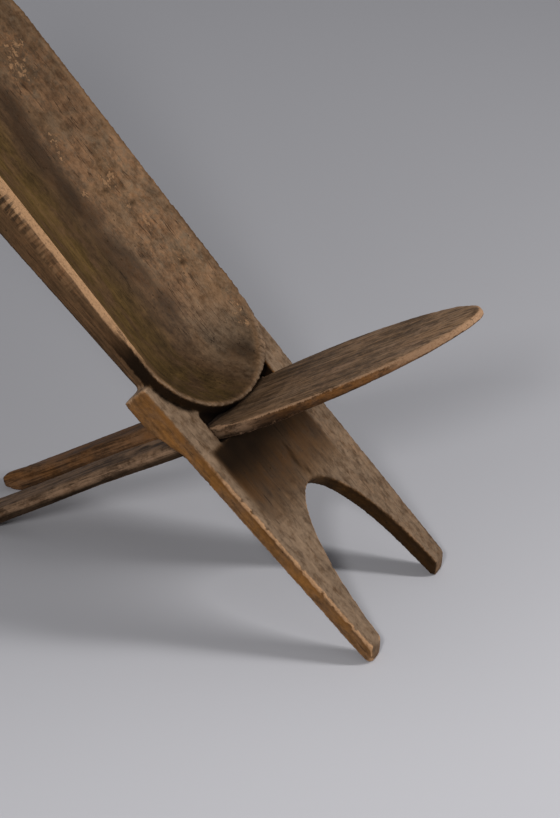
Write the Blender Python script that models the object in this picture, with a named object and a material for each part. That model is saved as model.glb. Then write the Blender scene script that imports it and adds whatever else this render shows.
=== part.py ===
"""A palaver chair of two carved planks, in metres, +Z up, +X the way the sitter faces.

The back plank stands on two legs, carries a collar with a slot across it, and is hollowed
into a gutter above the slot. The seat plank is a leaf with a forked tail: the tail goes
through the slot and its two ends rest on the floor behind. Nothing else holds the chair.
"""

import math

import bmesh
import bpy
from mathutils import Vector

# Slopes of the two planks above the floor, in degrees
BACK_SLOPE = 44.6
SEAT_SLOPE = 33.0

# Back plank: the lower panel and its legs, measured up the plank from the floor
LEG_THICKNESS = 0.027
FEET_WIDTH = 0.266
SHOULDER_WIDTH = 0.300
SHOULDER_ABOVE_SEAT = 0.110
COLLAR_THICKNESS = 0.047
COLLAR_RUN = 0.110
COLLAR_RAMP = 0.058
ARCH_WIDTH = 0.203
ARCH_HEIGHT = 0.266
FOOT_ROUND = 0.020
FOOT_SQUARENESS = 0.6
SOLE_BITE = 0.0055
TOE_TRIM = 0.008

# Back plank: the hollowed backrest
BACK_LENGTH = 1.160
GUTTER_WIDTH = 0.273
GUTTER_WALL = 0.022
HOLLOW_DEPTH = 0.056
RIM_LAND = 0.008
RIM_PROUD = 0.0175
RIM_RISE = 0.050
SIDE_DEPTH = 0.018
SIDE_SWELL = 0.034
SIDE_SWELL_RUN = 0.440
BELLY_PROUD = 0.006
BELLY_FULLNESS = 3
LIP_RUN = 0.130
LIP_ABOVE_SEAT = 0.002
TOP_ARCH = 0.030
TOP_ROLL = 0.028
TOP_ROLL_RUN = 0.110

# Seat plank: the leaf, measured along the plank from the back plank's front face
SEAT_UP_BACK = 0.4176
SEAT_THICKNESS = 0.022
TIP_THICKNESS = 0.011
SEAT_REACH = 0.416
SEAT_WIDTH = 0.205
SEAT_WIDEST_AT = 0.130
LEAF_REAR_RUN = 0.219
HEEL_IN_SLOT = 0.006
WAIST_WIDTH = 0.150
WAIST_RUN = 0.030
WAIST_FLARE = 0.030
TAIL_WIDTH = 0.181
FORK_GAP = 0.070
FORK_CROTCH = 0.100
REAR_SOLE = 0.025

# Fits and worn edges
SEAT_CLEARANCE = 0.0003
SLOT_SIDE_PLAY = 0.003
SLOT_MOUTH = 0.034
EDGE_ROUND = 0.003

# Facets of the curved stretches, and the angle past which an edge stays crisp
EDGE_STEPS = 2
CRISP_ANGLE = 30.0
LEAF_STEPS = 16
HEEL_STEPS = 6
CROTCH_STEPS = 8
ARCH_STEPS = 16
FOOT_STEPS = 8
LIP_STEPS = 10
RUN_STEPS = 20
GUTTER_COLUMNS = 16

# Overrun of a cutting form past the wood that it cuts, and the merging of its doubled points
OVERRUN = 0.020
WELD = 0.00005

# Wood of the two planks: colour, roughness
BACK_WOOD = ((0.165, 0.105, 0.062), 0.62)
SEAT_WOOD = ((0.130, 0.085, 0.055), 0.58)

# Values worked out from the driving dimensions
BACK_ANGLE = math.radians(BACK_SLOPE)
SEAT_ANGLE = math.radians(SEAT_SLOPE)
CROSSING = BACK_ANGLE + SEAT_ANGLE
SHOULDER_AT = SEAT_UP_BACK + SHOULDER_ABOVE_SEAT
COLLAR_FOOT = SHOULDER_AT - COLLAR_RUN
LIP_AT = SEAT_UP_BACK + LIP_ABOVE_SEAT
LIP_CENTRE = LIP_AT + LIP_RUN
GUTTER_HALF = GUTTER_WIDTH / 2
TAIL_HALF = TAIL_WIDTH / 2
SEAT_ORIGIN = Vector((-math.cos(BACK_ANGLE), 0, math.sin(BACK_ANGLE))) * SEAT_UP_BACK


def clear_scene():
    for item in list(bpy.data.objects):
        bpy.data.objects.remove(item, do_unlink=True)


def wood(name, finish):
    colour, roughness = finish
    material = bpy.data.materials.new(name)
    material.use_nodes = True
    shader = material.node_tree.nodes["Principled BSDF"]
    shader.inputs["Base Color"].default_value = (*colour, 1.0)
    shader.inputs["Roughness"].default_value = roughness
    shader.inputs["Metallic"].default_value = 0.0
    return material


def place(name, bm, parent):
    """Turns a bmesh into an object that hangs from its plank's empty."""
    bmesh.ops.recalc_face_normals(bm, faces=bm.faces[:])
    mesh = bpy.data.meshes.new(name)
    bm.to_mesh(mesh)
    bm.free()
    item = bpy.data.objects.new(name, mesh)
    bpy.context.scene.collection.objects.link(item)
    item.parent = parent
    return item


def form(name, bm, parent):
    """A guide that shapes a plank and isn't a piece of the chair."""
    item = place(name, bm, parent)
    item.hide_render = True
    item.display_type = "WIRE"
    return item


def combine(plank, guide, operation):
    step = plank.modifiers.new(guide.name, "BOOLEAN")
    step.operation = operation
    step.solver = "EXACT"
    step.object = guide


def plank_frame(name, parent, location, rotation):
    frame = bpy.data.objects.new(name, None)
    bpy.context.scene.collection.objects.link(frame)
    frame.parent = parent
    frame.location = location
    frame.rotation_euler = rotation
    return frame


def sweep(outline, travel):
    """A closed block: a flat outline carried along a straight travel."""
    bm = bmesh.new()
    face = bm.faces.new([bm.verts.new(point) for point in outline])
    swept = bmesh.ops.extrude_face_region(bm, geom=[face])
    far_side = [item for item in swept["geom"] if isinstance(item, bmesh.types.BMVert)]
    bmesh.ops.translate(bm, vec=travel, verts=far_side)
    return bm


def across(side_outline, half_width):
    """A block sawn to a side outline of (along, out) points, as wide as the plank there."""
    outline = [(along, -half_width, out) for along, out in side_outline]
    return sweep(outline, (0, 2 * half_width, 0))


def through(plan_outline, low, high):
    """A block sawn to a plan outline of (along, side) points, from low to high."""
    outline = [(along, side, low) for along, side in plan_outline]
    return sweep(outline, (0, 0, high - low))


def round_edges(bm, edges):
    bmesh.ops.bevel(
        bm, geom=edges, offset=EDGE_ROUND, offset_type="OFFSET", segments=EDGE_STEPS, profile=0.5,
        affect="EDGES", material=-1, clamp_overlap=True,
    )


def cut_across(bm, along):
    """An edge line across a plank, where its thickness starts to change."""
    whole = bm.verts[:] + bm.edges[:] + bm.faces[:]
    bmesh.ops.bisect_plane(bm, geom=whole, plane_co=(along, 0, 0), plane_no=(1, 0, 0))


def panel_half(up):
    return (FEET_WIDTH + (SHOULDER_WIDTH - FEET_WIDTH) * up / SHOULDER_AT) / 2


def arch_half(up):
    return ARCH_WIDTH / 2 * math.sqrt(1 - (up / ARCH_HEIGHT) ** 2)


def leg_side():
    """Half of the panel's plan: a shoulder, a leg with its rounded foot, and half of the arch."""
    tip = LEG_THICKNESS / math.tan(BACK_ANGLE) - SOLE_BITE
    ankle = tip + FOOT_ROUND
    middle = (panel_half(ankle) + arch_half(ankle)) / 2
    half_leg = (panel_half(ankle) - arch_half(ankle)) / 2
    points = [(SHOULDER_AT, panel_half(SHOULDER_AT))]
    for step in range(FOOT_STEPS + 1):
        turn = math.pi * step / FOOT_STEPS
        drop = abs(math.sin(turn)) ** FOOT_SQUARENESS
        aside = math.copysign(abs(math.cos(turn)) ** FOOT_SQUARENESS, math.cos(turn))
        points.append((ankle - FOOT_ROUND * drop, middle + half_leg * aside))
    first_turn = math.asin(ankle / ARCH_HEIGHT)
    for step in range(1, ARCH_STEPS + 1):
        turn = first_turn + (math.pi / 2 - first_turn) * step / ARCH_STEPS
        up = ARCH_HEIGHT * math.sin(turn)
        points.append((up, ARCH_WIDTH / 2 * math.cos(turn)))
    return points


def mirrored(side):
    """A whole plan from one half of it, whose last point lies on the middle line."""
    other = [(along, -aside) for along, aside in reversed(side[:-1])]
    return side + other


def leg_panel():
    """The flat lower plank: it widens up to the shoulders and thickens behind into the collar."""
    bm = through(mirrored(leg_side()), -LEG_THICKNESS, 0.0)
    round_edges(bm, [edge for edge in bm.edges if edge.verts[0].co.z == edge.verts[1].co.z])
    for ramp_end in (COLLAR_FOOT, COLLAR_FOOT + COLLAR_RAMP):
        cut_across(bm, ramp_end)
    for vert in bm.verts:
        share = min(max(0.0, (vert.co.x - COLLAR_FOOT) / COLLAR_RAMP), 1.0)
        vert.co.z *= 1 + (COLLAR_THICKNESS / LEG_THICKNESS - 1) * share
    return bm


def up_back(out, above_seat):
    """How far up the back plank a line lies that runs with the seat, at a depth in the plank."""
    return SEAT_UP_BACK + (above_seat - out * math.cos(CROSSING)) / math.sin(CROSSING)


def leaf_half(along):
    """Half of the leaf's width, in front of its widest place or behind it."""
    run = SEAT_REACH - SEAT_WIDEST_AT if along > SEAT_WIDEST_AT else LEAF_REAR_RUN
    return SEAT_WIDTH / 2 * math.sqrt(1 - ((along - SEAT_WIDEST_AT) / run) ** 2)


def slot_half():
    """Half of the slot's width, with room for the tail and for the leaf's heel."""
    mouth = (SEAT_THICKNESS * math.cos(CROSSING) + SEAT_CLEARANCE) / math.sin(CROSSING)
    return max(TAIL_HALF, leaf_half(mouth)) + SLOT_SIDE_PLAY


def slot_form():
    """The slot: its lower wall is square to the plank, its upper wall flares to a wide mouth."""
    rear = -COLLAR_THICKNESS - OVERRUN
    lower = up_back(0.0, -SEAT_THICKNESS - SEAT_CLEARANCE)
    mouth = SEAT_UP_BACK + SLOT_MOUTH
    back_edge = up_back(-LEG_THICKNESS, SEAT_CLEARANCE)
    flare = (mouth - back_edge) / LEG_THICKNESS
    side = [
        (lower, OVERRUN),
        (mouth + flare * OVERRUN, OVERRUN),
        (back_edge, -LEG_THICKNESS),
        (up_back(rear, SEAT_CLEARANCE), rear),
        (lower, rear),
    ]
    return across(side, slot_half())


def passage_form():
    """Room for the tail, along its own slope, through whatever stands behind the lip."""
    reach = COLLAR_THICKNESS + HOLLOW_DEPTH
    low = -SEAT_THICKNESS - SEAT_CLEARANCE
    side = [(-reach, low), (OVERRUN, low), (OVERRUN, SEAT_CLEARANCE), (-reach, SEAT_CLEARANCE)]
    return across(side, slot_half())


def ease(value):
    held = min(max(value, 0.0), 1.0)
    return held * held * (3 - 2 * held)


def rim_line(up):
    """The rims' line above the panel's front face: level at the lip, then a steady rise."""
    return RIM_PROUD + RIM_RISE * max(0.0, up - SHOULDER_AT)


def rim_out(up):
    """The rims themselves, which roll down at the top end."""
    return rim_line(up) - TOP_ROLL * ease(1 - (BACK_LENGTH - up) / TOP_ROLL_RUN)


def hollow_out(up, spread):
    """The hollow's surface: spread is 0 on its deepest line and 1 at the rim's inner edge."""
    floor = rim_line(up) - HOLLOW_DEPTH
    return floor + (rim_out(up) - floor) * spread * spread


def trough_plan(station, side, half_width, lip_run, top):
    """A trough's plan: how far up the plank, how far aside, and the spread, for one grid point."""
    step = station * (LIP_STEPS + RUN_STEPS)
    if step < LIP_STEPS:
        turn = math.pi / 2 * step / LIP_STEPS
        up = LIP_CENTRE - lip_run * math.cos(turn)
        aside = side * half_width * math.sin(turn)
        return up, aside, math.hypot(math.cos(turn), side * math.sin(turn))
    share = (step - LIP_STEPS) / RUN_STEPS
    up = LIP_CENTRE + (top - LIP_CENTRE) * share
    up -= TOP_ARCH * abs(side) ** 3 * ease(2 * share - 1)
    return up, side * half_width, abs(side)


def trough(front_point, rear_point):
    """A closed sheet with the trough's plan, from two rules that place its two skins."""
    bm = bmesh.new()
    bmesh.ops.create_grid(
        bm, x_segments=LIP_STEPS + RUN_STEPS, y_segments=GUTTER_COLUMNS, size=1.0)
    front = list(bm.verts)
    swept = bmesh.ops.extrude_face_region(bm, geom=bm.faces[:])
    rear = [item for item in swept["geom"] if isinstance(item, bmesh.types.BMVert)]
    for verts, rule in ((front, front_point), (rear, rear_point)):
        for vert in verts:
            station = (vert.co.x + 1) / 2
            side = math.sin(vert.co.y * math.pi / 2)
            vert.co = rule(station, side)
    bmesh.ops.remove_doubles(bm, verts=bm.verts[:], dist=WELD)
    bmesh.ops.triangulate(bm, faces=bm.faces[:])
    return bm


def gutter_blank():
    """The backrest before it is hollowed: flat between its rims, with a rounded belly behind."""
    def plan(station, side):
        return trough_plan(station, side, GUTTER_HALF, LIP_RUN, BACK_LENGTH)

    def front(station, side):
        up, aside, _ = plan(station, side)
        return Vector((up, aside, rim_out(up)))

    def rear(station, side):
        up, aside, _ = plan(station, side)
        middle_up, _, middle_spread = plan(station, 0.0)
        edge = -SIDE_DEPTH - SIDE_SWELL * min(max(0.0, up - SHOULDER_AT), SIDE_SWELL_RUN)
        belly = min(hollow_out(middle_up, middle_spread) - GUTTER_WALL, edge - BELLY_PROUD)
        return Vector((up, aside, belly + (edge - belly) * abs(side) ** BELLY_FULLNESS))

    return trough(front, rear)


def hollow_form():
    """What is scooped out of the backrest, carried on past the rims and the top."""
    past = 1 + OVERRUN / GUTTER_HALF
    half_width = past * (GUTTER_HALF - RIM_LAND)
    lip_run = past * (LIP_RUN - RIM_LAND)
    top = BACK_LENGTH + OVERRUN + TOP_ARCH

    def scoop(station, side):
        up, aside, spread = trough_plan(station, side, half_width, lip_run, top)
        return Vector((up, aside, hollow_out(up, past * spread)))

    def above(station, side):
        point = scoop(station, side)
        point.z = max(point.z, rim_line(point.x)) + OVERRUN
        return point

    return trough(above, scoop)


def block(low, high):
    bm = bmesh.new()
    bmesh.ops.create_cube(bm, size=1.0)
    size = Vector(high) - Vector(low)
    bmesh.ops.scale(bm, vec=size, verts=bm.verts[:])
    bmesh.ops.translate(bm, vec=Vector(low) + size / 2, verts=bm.verts[:])
    return bm


def floor_form():
    reach = 2 * (BACK_LENGTH + SEAT_REACH)
    return block((-reach, -SHOULDER_WIDTH, -reach), (reach, SHOULDER_WIDTH, 0.0))


def toe_form():
    """The front of the feet is trimmed upright, a little ahead of the plank's rear face."""
    toe = TOE_TRIM - LEG_THICKNESS / math.sin(BACK_ANGLE)
    rise = LEG_THICKNESS + OVERRUN
    return block((toe, -SHOULDER_WIDTH, -OVERRUN), (toe + rise, SHOULDER_WIDTH, rise))


def landing():
    """How far behind the back plank's front face the tail's underside meets the floor, along the seat."""
    return (SEAT_ORIGIN.z - SEAT_THICKNESS * math.cos(SEAT_ANGLE)) / math.sin(SEAT_ANGLE)


def heel_form():
    """The tail's ends are cut upright, a sole's length behind the line where they land."""
    reach = 2 * (BACK_LENGTH + SEAT_REACH)
    lands_at = SEAT_ORIGIN.x - landing() * math.cos(SEAT_ANGLE) + SEAT_THICKNESS * math.sin(SEAT_ANGLE)
    heel = lands_at - REAR_SOLE
    return block((heel - reach, -SHOULDER_WIDTH, -reach), (heel, SHOULDER_WIDTH, reach))


def leaf_side():
    """Half of the seat's plan, from beside its tip round to the middle of the fork."""
    points = []
    for step in range(LEAF_STEPS + 1):
        turn = math.pi / 2 * (step + 0.5) / (LEAF_STEPS + 0.5)
        along = SEAT_WIDEST_AT + (SEAT_REACH - SEAT_WIDEST_AT) * math.cos(turn)
        points.append((along, leaf_half(along)))
    for step in range(1, HEEL_STEPS + 1):
        along = SEAT_WIDEST_AT - (SEAT_WIDEST_AT + HEEL_IN_SLOT) * step / HEEL_STEPS
        points.append((along, leaf_half(along)))
    uncut_end = -landing() - REAR_SOLE / math.cos(SEAT_ANGLE) - OVERRUN
    points.append((-HEEL_IN_SLOT, WAIST_WIDTH / 2))
    points.append((-WAIST_RUN, WAIST_WIDTH / 2))
    points.append((-WAIST_RUN - WAIST_FLARE, TAIL_HALF))
    points.append((uncut_end, TAIL_HALF))
    points.append((uncut_end, FORK_GAP / 2))
    crotch_centre = -FORK_CROTCH - FORK_GAP / 2
    for step in range(CROTCH_STEPS + 1):
        turn = math.pi / 2 * (1 - step / CROTCH_STEPS)
        along = crotch_centre + FORK_GAP / 2 * math.cos(turn)
        points.append((along, FORK_GAP / 2 * math.sin(turn)))
    return points


def seat_blank():
    """The seat plank: its plan sawn from one board, worn round along its edges and thinned to the tip."""
    bm = through(mirrored(leaf_side()), -SEAT_THICKNESS, 0.0)
    round_edges(bm, [edge for edge in bm.edges if edge.verts[0].co.z == edge.verts[1].co.z])
    cut_across(bm, 0.0)
    for vert in bm.verts:
        share = max(0.0, vert.co.x / SEAT_REACH)
        vert.co.z *= 1 + (TIP_THICKNESS / SEAT_THICKNESS - 1) * share
    return bm


def shade(item, material):
    item.data.materials.append(material)
    item.data.shade_smooth()
    item.data.set_sharp_from_angle(angle=math.radians(CRISP_ANGLE))


def build():
    clear_scene()
    chair = plank_frame("chair", None, (0, 0, 0), (0, 0, 0))
    back_frame = plank_frame("back_frame", chair, (0, 0, 0), (0, -BACK_ANGLE, math.pi))
    seat_frame = plank_frame("seat_frame", chair, SEAT_ORIGIN, (0, -SEAT_ANGLE, 0))
    floor = form("floor_form", floor_form(), chair)

    back = place("back_plank", leg_panel(), back_frame)
    combine(back, form("slot_form", slot_form(), back_frame), "DIFFERENCE")
    combine(back, form("gutter_form", gutter_blank(), back_frame), "UNION")
    combine(back, form("hollow_form", hollow_form(), back_frame), "DIFFERENCE")
    combine(back, form("passage_form", passage_form(), seat_frame), "DIFFERENCE")
    combine(back, form("toe_form", toe_form(), chair), "DIFFERENCE")
    combine(back, floor, "DIFFERENCE")
    shade(back, wood("back_wood", BACK_WOOD))

    seat = place("seat_plank", seat_blank(), seat_frame)
    combine(seat, form("heel_form", heel_form(), chair), "DIFFERENCE")
    combine(seat, floor, "DIFFERENCE")
    shade(seat, wood("seat_wood", SEAT_WOOD))
    centre_over_origin(chair, (back, seat))


def centre_over_origin(chair, planks):
    """Slides the chair along X until the middle of its footprint is over the origin."""
    bpy.context.view_layer.update()
    graph = bpy.context.evaluated_depsgraph_get()
    reach = []
    for plank in planks:
        shaped = plank.evaluated_get(graph)
        reach += [(shaped.matrix_world @ vert.co).x for vert in shaped.data.vertices]
    chair.location.x -= (min(reach) + max(reach)) / 2
    bpy.context.view_layer.update()


build()
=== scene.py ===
"""Looks of a palaver chair: two old planks, carved by hand and worn, on a pale studio floor."""

import math

import bmesh
import bpy
import numpy as np
from mathutils import Euler, Matrix, Vector, noise


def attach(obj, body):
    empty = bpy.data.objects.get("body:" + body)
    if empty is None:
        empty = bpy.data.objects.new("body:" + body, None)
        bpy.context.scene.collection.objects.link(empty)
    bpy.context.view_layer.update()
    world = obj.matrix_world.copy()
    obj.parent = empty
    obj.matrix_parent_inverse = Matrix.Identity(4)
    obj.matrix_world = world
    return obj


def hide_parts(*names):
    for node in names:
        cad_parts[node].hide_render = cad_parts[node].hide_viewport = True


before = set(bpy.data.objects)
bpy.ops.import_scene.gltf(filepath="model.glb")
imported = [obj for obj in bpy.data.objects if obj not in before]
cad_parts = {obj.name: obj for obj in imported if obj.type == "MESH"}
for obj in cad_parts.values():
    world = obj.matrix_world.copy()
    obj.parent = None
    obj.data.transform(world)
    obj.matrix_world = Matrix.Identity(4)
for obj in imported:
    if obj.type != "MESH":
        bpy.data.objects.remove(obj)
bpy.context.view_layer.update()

# How the planks lie in the frame: slopes, and the point where each plank's own axes start
BACK_SLOPE = math.radians(44.6)
SEAT_SLOPE = math.radians(33.0)
BACK_START = Vector((0.39815, 0.0, 0.0))
SEAT_UP_BACK = 0.4176
SEAT_START = BACK_START + SEAT_UP_BACK * Vector((-math.cos(BACK_SLOPE), 0, math.sin(BACK_SLOPE)))
BACK_TURN = Euler((0.0, -BACK_SLOPE, math.pi))
SEAT_TURN = Euler((0.0, -SEAT_SLOPE, 0.0))

# Fineness of the carved skins, their first rounding, and the merging of the frame's loose triangles
BACK_SKIN = 0.0034
SEAT_SKIN = 0.0024
SKIN_SOFTENING = 0.5
SKIN_ROUNDS = 4
WELD = 0.00001
SKIN_GRID_TURN = Euler((0.45, 0.62, 0.38))

# Share of its depth that a worn end keeps below the floor
UNDER_FLOOR = 0.1

# Forms of the back plank that its finish follows, in metres along, across and out of the plank
SHOULDER_AT = 0.5276
LIP_AT = 0.4196
LIP_RUN = 0.130
GUTTER_HALF = 0.1365
RIM_LAND = 0.008
ARCH_CROWN = 0.266
ARCH_HALF = 0.105
RIM_OVER_PANEL = 0.008
END_WALL_FOOT = -0.004

# The near rim: its height over the panel's face low down, its rise from there, and its slanted outer edge
RIM_LOW_AT = 0.555
RIM_HEIGHT_LOW = 0.0185
RIM_RISE = 0.040
RIM_CHAMFER = 0.010
CHAMFER_FROM = 0.55
CHAMFER_BEYOND = 0.10

# The lip's fuller far corner: place along and across, length, width, and how far it moves
LIP_CORNER = (0.462, -0.095, 0.055, 0.050)
LIP_CORNER_MOVE = (-0.006, -0.005, 0.0)

# The slot's hidden walls: slope of the lower one, its play under the tail, and how far the ends draw in
SLOT_RISE = math.tan(BACK_SLOPE - SEAT_SLOPE + math.radians(0.8))
SLOT_PLAY = 0.0007
SLOT_END_DRAW = 0.0046
SLOT_END_SILL = 0.0024

# The seat's heel: how far each side is skewed down the plank, and how far the near side bows up
HEEL_SKEW_NEAR = -0.014
HEEL_SKEW_FAR = -0.002
HEEL_BOW = 0.003

# The tail: how much its bars fill out and lift, and its ends stand above and behind the bars
BAR_FILL = 0.0010
BAR_LIFT = 0.0015
BAR_BOW = 0.002
TAIL_END_LIFT = 0.0095
TAIL_END_REACH = 0.006

# How much the waist swells inside the slot, on each side
WAIST_SWELL = 0.013

# Rounding of corners by hand and wear: share of the way, and rounds of averaging
FOOT_ROUNDING = (0.6, 4)
BAR_ROUNDING = (0.9, 10)
TIP_ROUNDING = (0.8, 6)

# Depths of adze marks, waves, nicks and broken edges, in metres
BACK_ADZE_DEPTH = 0.0010
HOLLOW_ADZE_DEPTH = 0.0004
SEAT_ADZE_DEPTH = 0.0006
ADZE_LEVEL = 0.3
BACK_WAVE = 0.0004
SEAT_WAVE = 0.0005
BACK_NICK = 0.0009
SEAT_NICK = 0.0012
NICK_RUB = 0.3
SEAT_BREAK = 0.0045

# Patterns of the hand work: length along and width across in metres, and a seed
BACK_ADZE = (0.040, 0.022, 3.0)
BACK_WAVES = (0.16, 0.070, 2.0)
BACK_WEAR = (0.045, 0.030, 61.0)
BACK_BLOTCHES = (0.055, 0.024, 83.0)
SEAT_ADZE = (0.045, 0.020, 8.0)
SEAT_WAVES = (0.10, 0.045, 4.0)
SEAT_WEAR = (0.050, 0.030, 71.0)
SEAT_BREAKS = (0.022, 0.014, 51.0)
NICKS = (0.011, 0.008)
RUBS = (0.070, 0.050)
BACK_NICK_SEED = 31.0
SEAT_NICK_SEED = 37.0
RUB_SEED_STEP = 5.0

# How far a surface stands out of its surroundings, and over how many rounds of averaging that is found
EDGE_BULGE = (0.0005, 0.0016)
EDGE_ROUNDS = 6
SHARP_BULGE = (0.0004, 0.0014)
SHARP_ROUNDS = 8
FLAT_BULGE = (0.0012, 0.0004)
FLAT_ROUNDS = 12
CORNER_BULGE = (-0.0008, -0.0026)
CORNER_ROUNDS = 14

# Soft bounds of patterns about 0, where a patch begins and where it is full
WORN = (-0.35, 0.35)
BLOTCHED = (-0.30, 0.30)
NICKED = (0.30, 0.55)
RUBBED = (-0.2, 0.6)
BROKEN = (-0.15, 0.25)

# Soft bounds of the back plank's zones: where each begins and where it is full
BACK_BOUNDS = {
    # by the hollow's spread, 0 on its deepest line and 1 on its rim
    "hollow": (1.03, 0.96), "carved hollow": (1.0, 0.9), "past hollow": (1.0, 1.06), "crest": (0.975, 0.995),
    "lip from": (0.95, 0.98), "lip to": (1.10, 1.06), "end wall from": (1.01, 1.04),
    "end wall to": (1.14, 1.09),
    # by the way the surface faces
    "faces out": (0.6, 0.85), "faces out or in": (0.55, 0.85), "hollow faces": (0.0, 0.25),
    "carved hollow faces": (0.0, 0.3), "crest faces": (0.3, 0.6), "end wall faces": (0.85, 0.55),
    "faces back": (-0.2, -0.7), "faces aside": (0.5, 0.8), "faces up": (0.20, 0.50), "faces down": (0.2, 0.6),
    "slot faces": (-0.5, -0.2), "slot wall faces": (0.4, 0.7),
    # in metres along the plank
    "foot": (0.07, 0.03), "below shoulder": (SHOULDER_AT + 0.01, SHOULDER_AT - 0.01), "panel": (0.558, 0.528),
    "dished from": (0.23, 0.32), "dished to": (0.402, 0.390), "under seat": (0.305, 0.368),
    "soaked": (0.24, 0.34), "legs": (0.28, 0.15), "high panel": (0.28, 0.38), "low edge": (0.42, 0.32),
    "below crown": (ARCH_CROWN + 0.02, ARCH_CROWN - 0.03), "arch sides": (ARCH_CROWN + 0.02, 0.2),
    "slot walls from": (0.380, 0.386), "slot walls to": (0.450, 0.444), "slot lower wall": (0.410, 0.404),
    "slot from": (0.386, 0.391), "slot to": (0.455, 0.445), "lip": (0.58, 0.52), "end wall": (0.64, 0.56),
    "chamfer": (0.54, 0.70), "high rim": (0.55, 0.66), "facet": (0.66, 0.72), "hatched": (0.62, 0.70),
    "rusty wall": (0.50, 0.64), "dim top": (0.74, 0.92), "bowl low": (0.58, 0.50),
    "bowl lowest": (0.52, 0.45),
    # in metres across the plank, the near side positive
    "far half": (0.000, -0.060), "near half": (-0.030, 0.030), "far ash": (-0.085, -0.120),
    "dished far": (-0.099, -0.089), "dished near": (0.132, 0.116), "under seat near": (-0.03, 0.05),
    "far panel": (-0.06, -0.10), "near panel": (0.07, 0.10), "rim side": (0.122, 0.126),
    # in metres either side of the plank's middle
    "shoulder ends": (0.10, 0.13), "adze": (0.135, 0.115), "slot walls": (0.110, 0.104),
    "slot": (0.105, 0.100), "slot ends": (0.042, 0.056),
    # in metres out of the panel's face
    "slot walls deep": (-0.055, -0.048), "slot walls shallow": (-0.002, -0.005),
    "slot drawn in": (-0.006, -0.018), "slot inside": (0.000, -0.003), "cheek edge": (-0.011, -0.003),
    # in metres below the near rim's crest
    "rim top": (0.0082, 0.0055), "facet from": (0.0035, 0.0065), "facet to": (0.026, 0.018),
    "below rim": (0.022, 0.014),
}

# Soft humps on the back plank: centre and reach, in metres along or across
SHOULDER_HUMP = (SHOULDER_AT, 0.04)
SHOULDER_CORNER = (SHOULDER_AT, 0.015)
# The painted shade along the hollow's deepest line
DARK_LINE = (-0.015, 0.060)

# Soft bounds of the seat plank's zones: where each begins and where it is full
SEAT_BOUNDS = {
    # by the way the surface faces
    "faces out": (0.6, 0.85), "faces aside": (0.80, 0.50), "rounded from": (0.30, 0.50),
    "rounded to": (0.95, 0.85), "faces down": (-0.3, -0.8), "faces near": (0.3, 0.7),
    # in metres along the plank
    "bars": (-0.07, -0.13), "before tail end": (-0.525, -0.49), "tip rounding": (0.16, 0.34),
    "tail end": (-0.40, -0.515), "tail end face": (-0.490, -0.515), "lifted bars": (-0.12, -0.2),
    "heel": (-0.022, -0.010), "waist from": (-0.003, -0.012), "waist to": (-0.075, -0.060),
    "broken from": (-0.03, 0.0), "broken to": (0.22, 0.14), "leaf": (-0.05, 0.0), "tip": (0.24, 0.38),
    "slot to": (-0.075, -0.065), "rear leaf": (0.14, 0.02), "dim leaf": (0.22, 0.05),
    "front rim": (0.08, 0.2), "rear rim": (0.10, 0.04), "rusty rim": (0.10, 0.18), "warm rim": (0.06, 0.16),
    "pale rear rim": (0.12, 0.05),
    # in metres behind the heel
    "slot from": (0.000, -0.008),
    # in metres either side of the plank's middle
    "inner": (0.080, 0.045), "heel sides": (0.04, 0.08), "skewed": (0.030, 0.045),
    "waist sides": (0.055, 0.070),
    # in metres out of the plank's top
    "tip top": (-0.012, -0.006), "bar top": (-0.014, -0.002), "broken edge": (-0.008, -0.014),
    "upper edge": (-0.010, -0.005), "low rim": (-0.009, -0.018), "stained rim": (-0.003, -0.009),
    "bare rim": (-0.016, -0.008), "bar foot": (-0.008, -0.015), "bar wear": (-0.008, -0.002),
}

# Soft humps on the seat plank: centre and reach, in metres along
HEEL_HUMP = (0.0, 0.03)
HEEL_BOW_HUMP = (-0.005, 0.04)
BAR_BOW_HUMP = (-0.24, 0.16)
BAR_WEAR_HUMP = (-0.15, 0.12)
RIM_STAIN_HUMP = (0.11, 0.07)
RIM_DARK_HUMP = (0.13, 0.09)

# How strongly each zone of the back plank takes each finish, painted shade among them; where zones meet, the
# strongest shows
BACK_FINISH_AND_PAINTED_SHADE = {
    # The black layer: painted shade in the corners (with dirt), inside the slot, the seat's shadow on the
    # panel and under the arch; painted shade and grime on the end wall; real dark spots; the faces turned
    # back are darkened
    "grime_and_shade": {
        "corner": 1.0, "end wall": 0.95, "under seat": 1.0, "inside slot": 0.98, "arch": 0.87, "behind": 0.30,
        "dark spots": 0.75},
    "stain": {"stained": 1.0},
    "bare_and_highlight": {"rubbed edge": 1.0, "bare rim": 1.0},
    "cut": {"cut facet": 1.0},
    "flake": {"flaked": 1.0},
    "dust": {"dry panel": 1.0, "shoulder": 1.0, "far wall": 0.6},
    "ash": {"ashen patches": 1.0, "ashen wall": 1.0},
    "rust": {"rusty wall": 0.70, "rusty outer side": 1.0, "side face": 0.4, "far panel": 0.30},
    "olive": {"near wall": 1.0},
    "warm": {"side face": 1.0, "far wall": 0.25, "dished": 0.5},
    "sawn": {"panel": 0.25, "sawn cheek": 1.0, "behind": 1.0, "near wall": 0.35},
}

# How much lighter or darker than the middle tone each zone of the back plank is; the shoulder's upward face
# and the panel's near margin are painted light, and the dished middle under the seat, the hollow's near wall,
# its deepest line and its low far corner are painted shade
BACK_SHADES = {
    "panel": -0.05, "shoulder": 0.75, "far panel": -0.04, "legs": -0.02, "near panel": 0.07, "dished": -0.22,
    "outer side": -0.10, "dark line": -0.13, "blotchy line": -0.23, "dark corner": -0.20, "far wall": -0.03,
    "side face": 0.07, "near wall": -0.15, "dim top": -0.13, "bowl low": -0.10, "bowl lowest": -0.16,
}

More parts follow.
